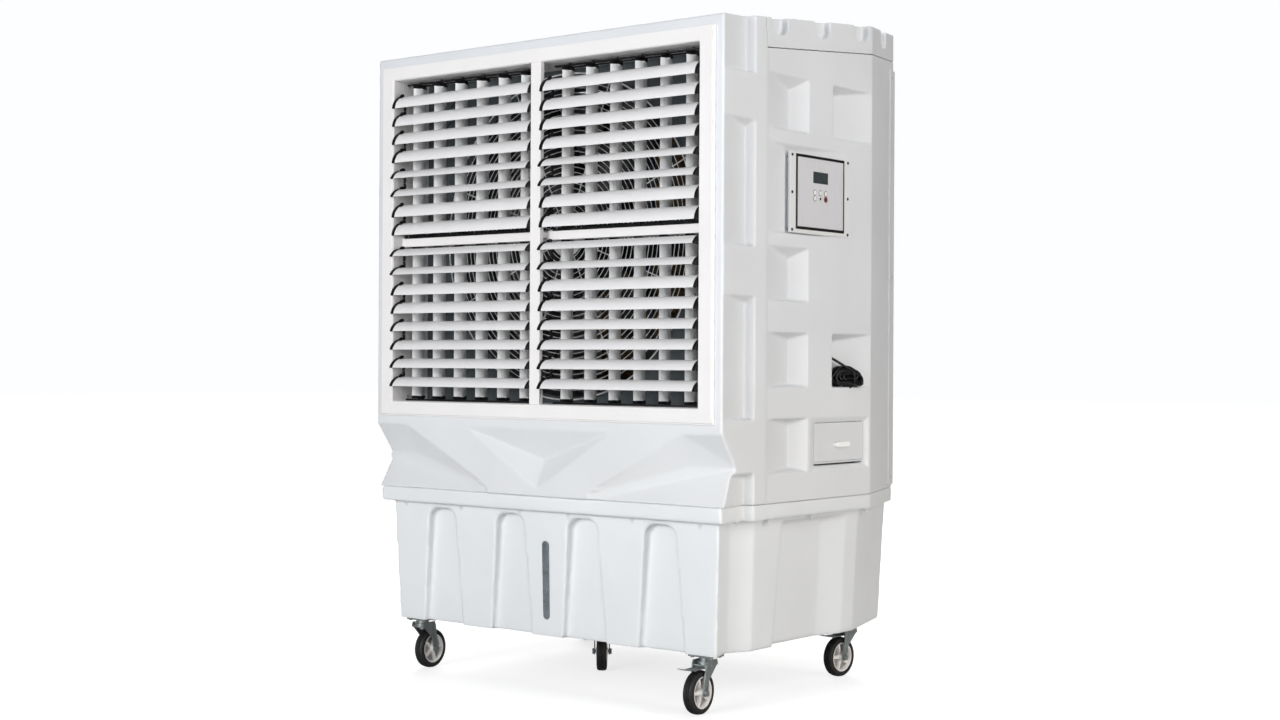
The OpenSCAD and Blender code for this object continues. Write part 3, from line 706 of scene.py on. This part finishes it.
def cap_outline(margin, chord, belly=False):
    """End profile in metres: bowed on top, flat or bellied below, larger than the blade."""
    radius = (chord ** 2 / 4 + CAMBER ** 2) / (2 * CAMBER)
    half, steps = chord / 2, 14
    bow = []
    for k in range(steps + 1):
        across = -half - 1.0 + (chord + 2.0) * k / steps
        on_arc = max(-half, min(half, across))
        rise = math.sqrt(radius ** 2 - on_arc ** 2) - (radius - CAMBER) - CHORD_DROP
        bow.append((across, rise + margin))
    bottom = -CHORD_DROP - margin * 0.3
    outline = bow[::-1] + [(-half - 1.0, bottom)]
    if belly:
        outline += [(-8, -17.5), (6, -17.5), (16, -12)]
    outline += [(half + 1.0, bottom)]
    return [(across / 1000, rise / 1000) for across, rise in outline]


def row_end_caps(number):
    joint = joints[f"row_{number}_tilt"]
    pivot = Vector(joint["pos_m"])
    tilt = math.radians(LOWEST_ROW_TILT - joint["range_deg"][0])
    # the blade's own directions
    back = Vector((0, math.cos(tilt), math.sin(tilt)))
    up = Vector((0, -math.sin(tilt), math.cos(tilt)))
    partner = -1 if number % 2 else 1       # the tied row is below or above
    shape = Shape()
    for start, end, low_end in ROW_CAPS:
        origin = Vector((start / 1000 + ORIGIN_X, pivot.y, pivot.z))
        shape.prism(cap_outline(3.0, BLADE_CHORD, belly=not low_end),
                    matrix_of(origin, back, up, Vector((1, 0, 0))),
                    0.0, (end - start) / 1000, bevel=0.0006, steps=1)
        if low_end:
            # horn at the rear edge, and half of the strap to the tied row
            hub = Vector(((end + 5.0) / 1000 + ORIGIN_X, pivot.y, pivot.z))
            shape.tube([hub + back * 0.010 + up * 0.006, hub + back * 0.019 + up * 0.0065,
                        hub + back * 0.0240 + up * 0.004], 0.0056)
            strap = [Vector((hub.x, pivot.y + behind, pivot.z + partner * rise))
                     for behind, rise in ((0.0215, 0.010), (0.0240, 0.019), (0.0215, 0.0284))]
            shape.tube([hub + back * 0.012 - up * 0.002] + strap, 0.0044)
    shape.build(f"row_end_caps_{number}", "black", f"blade_row_{number}")


def vane_caps(number):
    """Caps at the ends of both lengths of a vane, and a tapered pin on top."""
    pivot = Vector(joints[f"vane_{number}_swing"]["pos_m"])
    shape = Shape()
    for bottom, top, margin in VANE_CAPS:
        matrix = matrix_of(Vector((pivot.x, pivot.y, bottom / 1000)),
                           Vector((0, 1, 0)), Vector((1, 0, 0)), Vector((0, 0, 1)))
        shape.prism(cap_outline(margin, VANE_CHORD), matrix, 0.0, (top - bottom) / 1000,
                    bevel=0.0008)
    shape.lathe([(0.0, 0.0), (0.0088, 0.0), (0.0062, 0.0045), (0.0, 0.0045)],
                axes(Vector((pivot.x, pivot.y, 1.8772)), (0, 0, 1)), steps=32, closed=False)
    shape.build(f"vane_caps_{number}", "black", f"vane_{number}", angle=30)


def bearing_strips():
    """Strips below and above the vanes, and a toothed seal on the mid-rail's top edge."""
    teeth, pitch, gap = 30, 0.0190, 0.0045
    root, tip = 0.0050, 0.0115
    seal = [(0.0, 0.0), (teeth * pitch - gap, 0.0)]
    for k in reversed(range(teeth)):
        start = k * pitch
        seal += [(start + pitch - gap, tip), (start, tip)]
        if k:
            seal += [(start, root), (start - gap, root)]
    shape = Shape()
    for side, seal_x in ((-1, -600), (1, 34)):
        for bottom, top in ((867.4, 872.7), (1879.0, 1884.0)):
            shape.prism(rounded_rect(0.578, 0.012, 0.002, steps=3),
                        axes(place(side * 316, 48, bottom), (0, 0, 1), (1, 0, 0)),
                        0.0, (top - bottom) / 1000, bevel=0.0005, steps=1)
        shape.prism(seal, axes(place(seal_x, 32.9, 1386), (0, -1, 0), (1, 0, 0)), 0.0, 0.0026)
    shape.build("vane_bearing_strips", "black", angle=30)


# ------------------------------------------------------------------ wheels
# Profiles are (radius, along the axle) in metres
TYRE_SHOULDER = [(0.0458, -0.0150), (0.0475, -0.0160), (0.0535, -0.0162), (0.0580, -0.0150),
                 (0.0606, -0.0122)]
RIB_START, RIB_PITCH = -0.0102, 0.0054
RIB_ALONG = (0.0, 0.0016, 0.0036)       # stations across a rib
INNER_DROPS = (0.0003, 0.0, 0.0001)     # below the wheel's radius, the two middle ribs
OUTER_DROPS = (0.0012, 0.0007, 0.0011)  # the same for the two outer ribs
HUB_RIM = [(0.0458, -0.0152), (0.0458, 0.0152), (0.0430, 0.0152), (0.0405, 0.0120),
           (0.0405, -0.0120), (0.0430, -0.0152)]
HUB_BOSS = [(0.0053, -0.0195), (0.0100, -0.0195), (0.0112, -0.0185), (0.0125, -0.0120),
            (0.0125, 0.0120), (0.0112, 0.0185), (0.0100, 0.0195), (0.0053, 0.0195)]
HUB_WEB = [(0.0412, -0.0022), (0.0412, 0.0022), (0.0115, 0.0034), (0.0115, -0.0034)]
SPOKE = [(0.0105, -0.0058), (0.0412, -0.0036), (0.0412, 0.0036), (0.0105, 0.0058)]


def tyre_profile(radius):
    """Four ribs across the tread, between rounded shoulders."""
    profile = list(TYRE_SHOULDER)
    for k in range(4):
        start = RIB_START + k * RIB_PITCH
        drops = INNER_DROPS if 0 < k < 3 else OUTER_DROPS
        profile += [(radius - drop, start + along) for drop, along in zip(drops, RIB_ALONG)]
        if k < 3:
            profile += [(radius - 0.0024, start + along) for along in (0.0040, 0.0050)]
    return profile + [(r, -along) for r, along in reversed(TYRE_SHOULDER)]


def wheel(key):
    joint = joints[f"wheel_{key}_roll"]
    centre = Vector(joint["pos_m"])
    matrix = axes(centre, joint["axis"])
    body, slot = f"wheel_{key}", "tyre_rubber"
    shape = Shape()
    # the wheel stands on the floor, so its radius is its centre's height
    shape.lathe(tyre_profile(centre.z), matrix, steps=96)
    tyre = shape.build(f"tyre_{key}", "tyre", body, angle=28)
    shape = Shape()
    shape.lathe(HUB_RIM, matrix, steps=80)
    shape.lathe(HUB_BOSS, matrix, steps=48)
    for k in range(5):
        turned = matrix @ Matrix.Rotation(2 * math.pi * k / 5 + 0.3, 4, "Z")
        shape.prism(SPOKE, turned, -0.0112, 0.0112, bevel=0.0012)
    shape.build(f"wheel_hub_{key}", "hub", body, angle=40)
    # the web between the spokes, coloured dark as painted shade in the pockets
    shape = Shape()
    shape.lathe(HUB_WEB, matrix)
    shape.build(f"wheel_web_{key}", "hub_web_shade", body, angle=40)
    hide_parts(f"wheel_{key}")


# ------------------------------------------------------------------ control panel details
def key_ring(shape, y, z, profile):
    shape.lathe(profile, axes(place(WALL_X + 6.4, y, z), (1, 0, 0)), steps=48)


def panel_details():
    shape = Shape()
    shape.prism(rounded_rect(0.079, 0.033, 0.0015),
                axes(place(WALL_X + 4.7, 483, 1543), (1, 0, 0), (0, 1, 0)),
                0.0, 0.0016, bevel=0.0003)
    shape.build("display_window", "display")

    shape = Shape()
    for y in (336, 635):
        for z in (1383, 1492, 1601):
            shape.screw(place(WALL_X + 3.9, y, z), (1, 0, 0), radius=0.0046, height=0.0022)
    shape.build("panel_screws", "dark_steel")

    upper, lower = KEY_Z
    collar = [(0.0073, 0.0), (0.0088, 0.0), (0.0086, 0.0005), (0.0075, 0.0005)]
    shape = Shape()
    for y in KEY_Y:
        key_ring(shape, y, upper, collar)
    key_ring(shape, KEY_Y[0], lower, collar)
    shape.build("key_collars", "black")

    shape = Shape()
    key_ring(shape, KEY_Y[2], lower,
             [(0.0078, 0.0), (0.0098, 0.0), (0.0096, 0.0007), (0.0080, 0.0007)])
    shape.build("power_key_ring", "red")


# ------------------------------------------------------------------ level window
def tank_front(z):
    """Depth of the tank's front wall at a height, in mm; the tank widens upwards."""
    centre_y, half_depth, taper = 560, 520, 0.028
    bottom, height = 165, 395
    return centre_y - half_depth * (1 - taper + (z - bottom) / height * taper)


def level_window():
    """An upright window with round ends, lying on the tank's sloping front."""
    low_z, high_z = 228.0, 440.0
    low, high = (place(0, tank_front(z), z) for z in (low_z, high_z))
    middle = place(0, (tank_front(low_z) + tank_front(high_z)) / 2, (low_z + high_z) / 2)
    outward = Vector((1, 0, 0)).cross((high - low).normalized())
    shape = Shape()
    shape.prism(rounded_rect(0.0255, 0.2375, 0.01274, steps=10),
                axes(middle, outward, (1, 0, 0)), -0.0015, 0.0022, bevel=0.0012, steps=3)
    shape.build("level_window", "level")


# ------------------------------------------------------------------ power cord
CORD_RADIUS = 0.0040
POCKET_FRONT, POCKET_FLOOR = 570, 927   # mm, the coil stays behind and above these
# the free end: mm out from the pocket's wall, y, z
CORD_TAIL = ((-2, 575, 1026), (10, 581, 1021), (24, 598, 1008), (34, 622, 992),
             (38, 646, 978), (38, 668, 968))


def pocket_wall(y):
    """x of the side pocket's slanting wall at a depth, in mm."""
    return WALL_X - 55 * (779 - y) / 212


def power_cord():
    """Fifteen uneven, flattened loops of cord that sag at their ends, with a tie."""
    rng = random.Random(7)
    shape = Shape()
    for k in range(15):
        half_length = 72 - 3.4 * k + rng.uniform(-4, 4)
        half_height = 29 - 1.7 * k + rng.uniform(-3, 3)
        centre_y = 650 + rng.uniform(-6, 6)
        centre_z = 951 + rng.uniform(-3, 3)
        lean = rng.uniform(-0.14, 0.14)
        points = []
        for a in turns(56):
            along = half_length * math.copysign(abs(math.cos(a)) ** 0.75, math.cos(a))
            rise = half_height * math.sin(a) + 2 * math.sin(3 * a + k)
            y = centre_y + along * math.cos(lean) - rise * math.sin(lean)
            z = centre_z + along * math.sin(lean) + rise * math.cos(lean)
            z += -12 * (along / 72) ** 2 + 6 * (1 - abs(along) / 72)
            x = pocket_wall(y) + 6 + 5.2 * (k % 7) + 1.5 * math.sin(2 * a + k)
            points.append(place(x, max(POCKET_FRONT, y), max(POCKET_FLOOR, z)))
        shape.tube(points, CORD_RADIUS, sides=8, closed=True)
    shape.tube([place(pocket_wall(y) + out, y, z) for out, y, z in CORD_TAIL], CORD_RADIUS,
               sides=8)
    tie_y, tie_x = 660, pocket_wall(660) + 24
    tie = [place(tie_x + 24 * math.cos(a), tie_y, 951 + 33 * math.sin(a)) for a in turns(28)]
    shape.tube(tie, 0.0024, sides=6, closed=True)
    shape.build("power_cord", "cord", angle=60)


# ------------------------------------------------------------------ fixings
def frame_screws():
    shape = Shape()
    # on the back
    for x in (-557, 557):
        for z in (640, 1280, 1925):
            shape.screw(place(x, 1118.8, z), (0, 1, 0), radius=0.0046, height=0.0022)
    # facing outwards and back, beside them
    for side in (-1, 1):
        for z in (625, 1275, 1925):
            shape.screw(place(side * 580.6, 1075.6, z), (side * 0.936, 0.352, 0),
                        radius=0.0042, height=0.0020)
    # near the front, facing the centre plane
    for z in (880, 1374, 1878):
        for side in (-1, 1):
            shape.screw(place(side * 611.8, 58, z), (-side, 0, 0), radius=0.0040,
                        height=0.0020)
    shape.build("frame_screws", "steel")


# ------------------------------------------------------------------ stage, light, camera
def floor():
    """Grey paper that glows for the camera only, so it runs into the white background."""
    mesh = bpy.data.meshes.new("floor")
    mesh.from_pydata([(-40, -40, 0), (40, -40, 0), (40, 40, 0), (-40, 40, 0)], [],
                     [(0, 1, 2, 3)])
    sheet = add_object("floor", mesh)
    shader = Shader("floor_paper")
    shader.set("Base Color", (0.45, 0.45, 0.45))
    shader.set("Roughness", 0.95)
    shader.set("Specular IOR Level", 0.0)
    distance = shader.node("VectorMath", operation="LENGTH")
    shader.feed(distance.inputs[0], shader.coords)
    # the glow grows from 0.72 to 1 between 0.8 m and 3.2 m from the middle
    glow = shader.node("MapRange", interpolation_type="SMOOTHSTEP")
    for name, value in (("From Min", 0.8), ("From Max", 3.2), ("To Min", 0.72),
                        ("To Max", 1.0)):
        glow.inputs[name].default_value = value
    shader.feed(glow.inputs["Value"], distance.outputs["Value"])
    camera_ray = shader.node("LightPath").outputs["Is Camera Ray"]
    shader.set("Emission Strength", shader.math("MULTIPLY", camera_ray, glow.outputs[0]))
    shader.set("Emission Color", (1, 1, 1))
    mesh.materials.append(shader.material)


def studio_world():
    """A near-white background that lights the scene only faintly."""
    seen, cast = 1.0, 0.06                  # strength for the camera, and for the scene
    world = bpy.data.worlds.new("studio")
    bpy.context.scene.world = world
    world.use_nodes = True
    tree = world.node_tree
    background = tree.nodes["Background"]
    light_path = tree.nodes.new("ShaderNodeLightPath")
    strength = tree.nodes.new("ShaderNodeMath")
    strength.operation = "MULTIPLY_ADD"
    strength.inputs[1].default_value = seen - cast
    strength.inputs[2].default_value = cast
    tree.links.new(light_path.outputs["Is Camera Ray"], strength.inputs[0])
    tree.links.new(strength.outputs[0], background.inputs["Strength"])
    background.inputs["Color"].default_value = (0.985, 0.99, 1.0, 1)


def area_light(name, location, aim_z, size, watts, colour):
    """A rectangular light aimed at a height on the Z axis."""
    light = bpy.data.lights.new(name, "AREA")
    light.shape = "RECTANGLE"
    light.size, light.size_y = size
    light.energy = watts
    light.color = colour
    lamp = add_object(name, light)
    lamp.location = location
    lamp.rotation_mode = "QUATERNION"
    aim = Vector((0, 0, aim_z)) - Vector(location)
    lamp.rotation_quaternion = aim.to_track_quat("-Z", "Y")


def lights():
    area_light("front", (0.3, -6.5, 1.75), aim_z=1.15, size=(3.0, 2.2), watts=284,
               colour=(0.985, 0.99, 1.0))
    area_light("camera_side", (4.2, -4.6, 3.2), aim_z=1.2, size=(3.0, 3.0), watts=86,
               colour=(0.97, 0.99, 1.0))
    area_light("side", (6.0, -0.4, 0.95), aim_z=0.85, size=(2.0, 2.0), watts=138,
               colour=(1.0, 0.94, 0.885))
    area_light("side_high", (4.9, -0.2, 3.7), aim_z=1.1, size=(1.6, 1.6), watts=42,
               colour=(1.0, 0.985, 0.965))
    # the roof, the back and the far side, which the camera doesn't see
    area_light("top", (0.6, 0.6, 5.8), aim_z=1.5, size=(3.0, 3.0), watts=75,
               colour=(1.0, 1.0, 1.0))
    area_light("back", (-4.6, 4.8, 3.0), aim_z=1.1, size=(3.0, 3.0), watts=430,
               colour=(1.0, 0.99, 0.98))


def camera():
    """In front of the cabinet and to its +x side, level and very slightly rolled."""
    azimuth, elevation, roll = 0.67717654, -0.00074666, 0.00560582      # radians
    data = bpy.data.cameras.new("camera")
    data.sensor_width = 36
    data.lens = 51.6628125
    data.clip_end = 200
    made = add_object("camera", data)
    backward = Vector((math.sin(azimuth) * math.cos(elevation),
                       -math.cos(azimuth) * math.cos(elevation), math.sin(elevation)))
    right = Vector((math.cos(azimuth), math.sin(azimuth), 0))
    up = right.cross(-backward)
    made.matrix_world = matrix_of(place(3693.73, -4098.87, 996.60),
                                  right * math.cos(roll) + up * math.sin(roll),
                                  -right * math.sin(roll) + up * math.cos(roll), backward)
    bpy.context.scene.camera = made
    bpy.context.scene.view_settings.view_transform = "Standard"


cabinet()
dressed_nodes()
fan_guard()
cooling_pad()
for number in range(1, 17):
    row_end_caps(number)
for number in range(1, 13):
    vane_caps(number)
bearing_strips()
for key in WHEELS:
    wheel(key)
panel_details()
level_window()
power_cord()
frame_screws()
floor()
studio_world()
lights()
camera()
